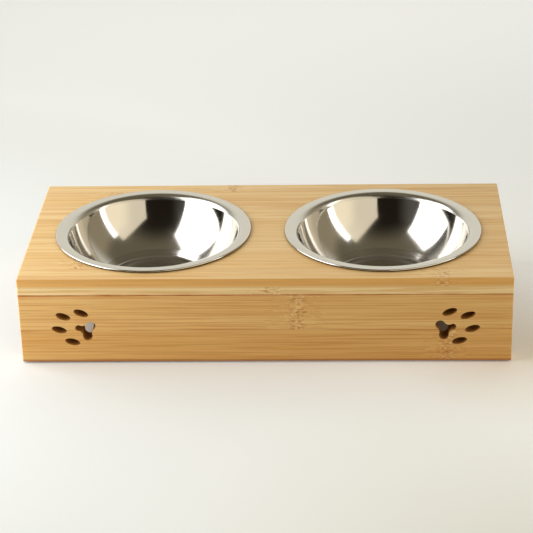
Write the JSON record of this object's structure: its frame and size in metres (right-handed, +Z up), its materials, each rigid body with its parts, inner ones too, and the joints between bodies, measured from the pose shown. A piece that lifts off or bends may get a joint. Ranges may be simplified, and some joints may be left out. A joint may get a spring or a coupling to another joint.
{
  "type": "double pet bowl stand",
  "caption": "Low bamboo bridge stand with round holes that hold drop-in steel bowls side by side, and paw cut-outs in its front board.",
  "frame": {"origin": "on the floor, under the middle of the stand", "axes": "+X along the stand's length to the right as seen from the front, +Y from the paw board to the back, +Z up"},
  "size_m": [0.33, 0.158, 0.0648],
  "materials": {
    "bamboo": "fine sanded bamboo, clear satin lacquer",
    "bowl_steel": "pressed stainless steel, mirror inside, satin flange",
    "dowel_wood": "turned beech",
    "foot_rubber": "matt moulded rubber"
  },
  "bodies": {
    "stand": {"top_panel": "bamboo", "front_panel": "bamboo", "back_panel": "bamboo", "front_dowel_1": "dowel_wood", "front_dowel_2": "dowel_wood", "front_dowel_3": "dowel_wood", "front_dowel_4": "dowel_wood", "back_dowel_1": "dowel_wood", "back_dowel_2": "dowel_wood", "back_dowel_3": "dowel_wood", "back_dowel_4": "dowel_wood", "front_left_foot": "foot_rubber", "front_right_foot": "foot_rubber", "back_left_foot": "foot_rubber", "back_right_foot": "foot_rubber"},
    "left_bowl": {"left_bowl": "bowl_steel"},
    "right_bowl": {"right_bowl": "bowl_steel"}
  },
  "joints": [
    {"name": "left_bowl_lift", "type": "slide", "parent": "stand", "child": "left_bowl", "axis": [0, 0, 1], "range_m": [0, 0.08]},
    {"name": "right_bowl_lift", "type": "slide", "parent": "stand", "child": "right_bowl", "axis": [0, 0, 1], "range_m": [0, 0.08]}
  ]
}
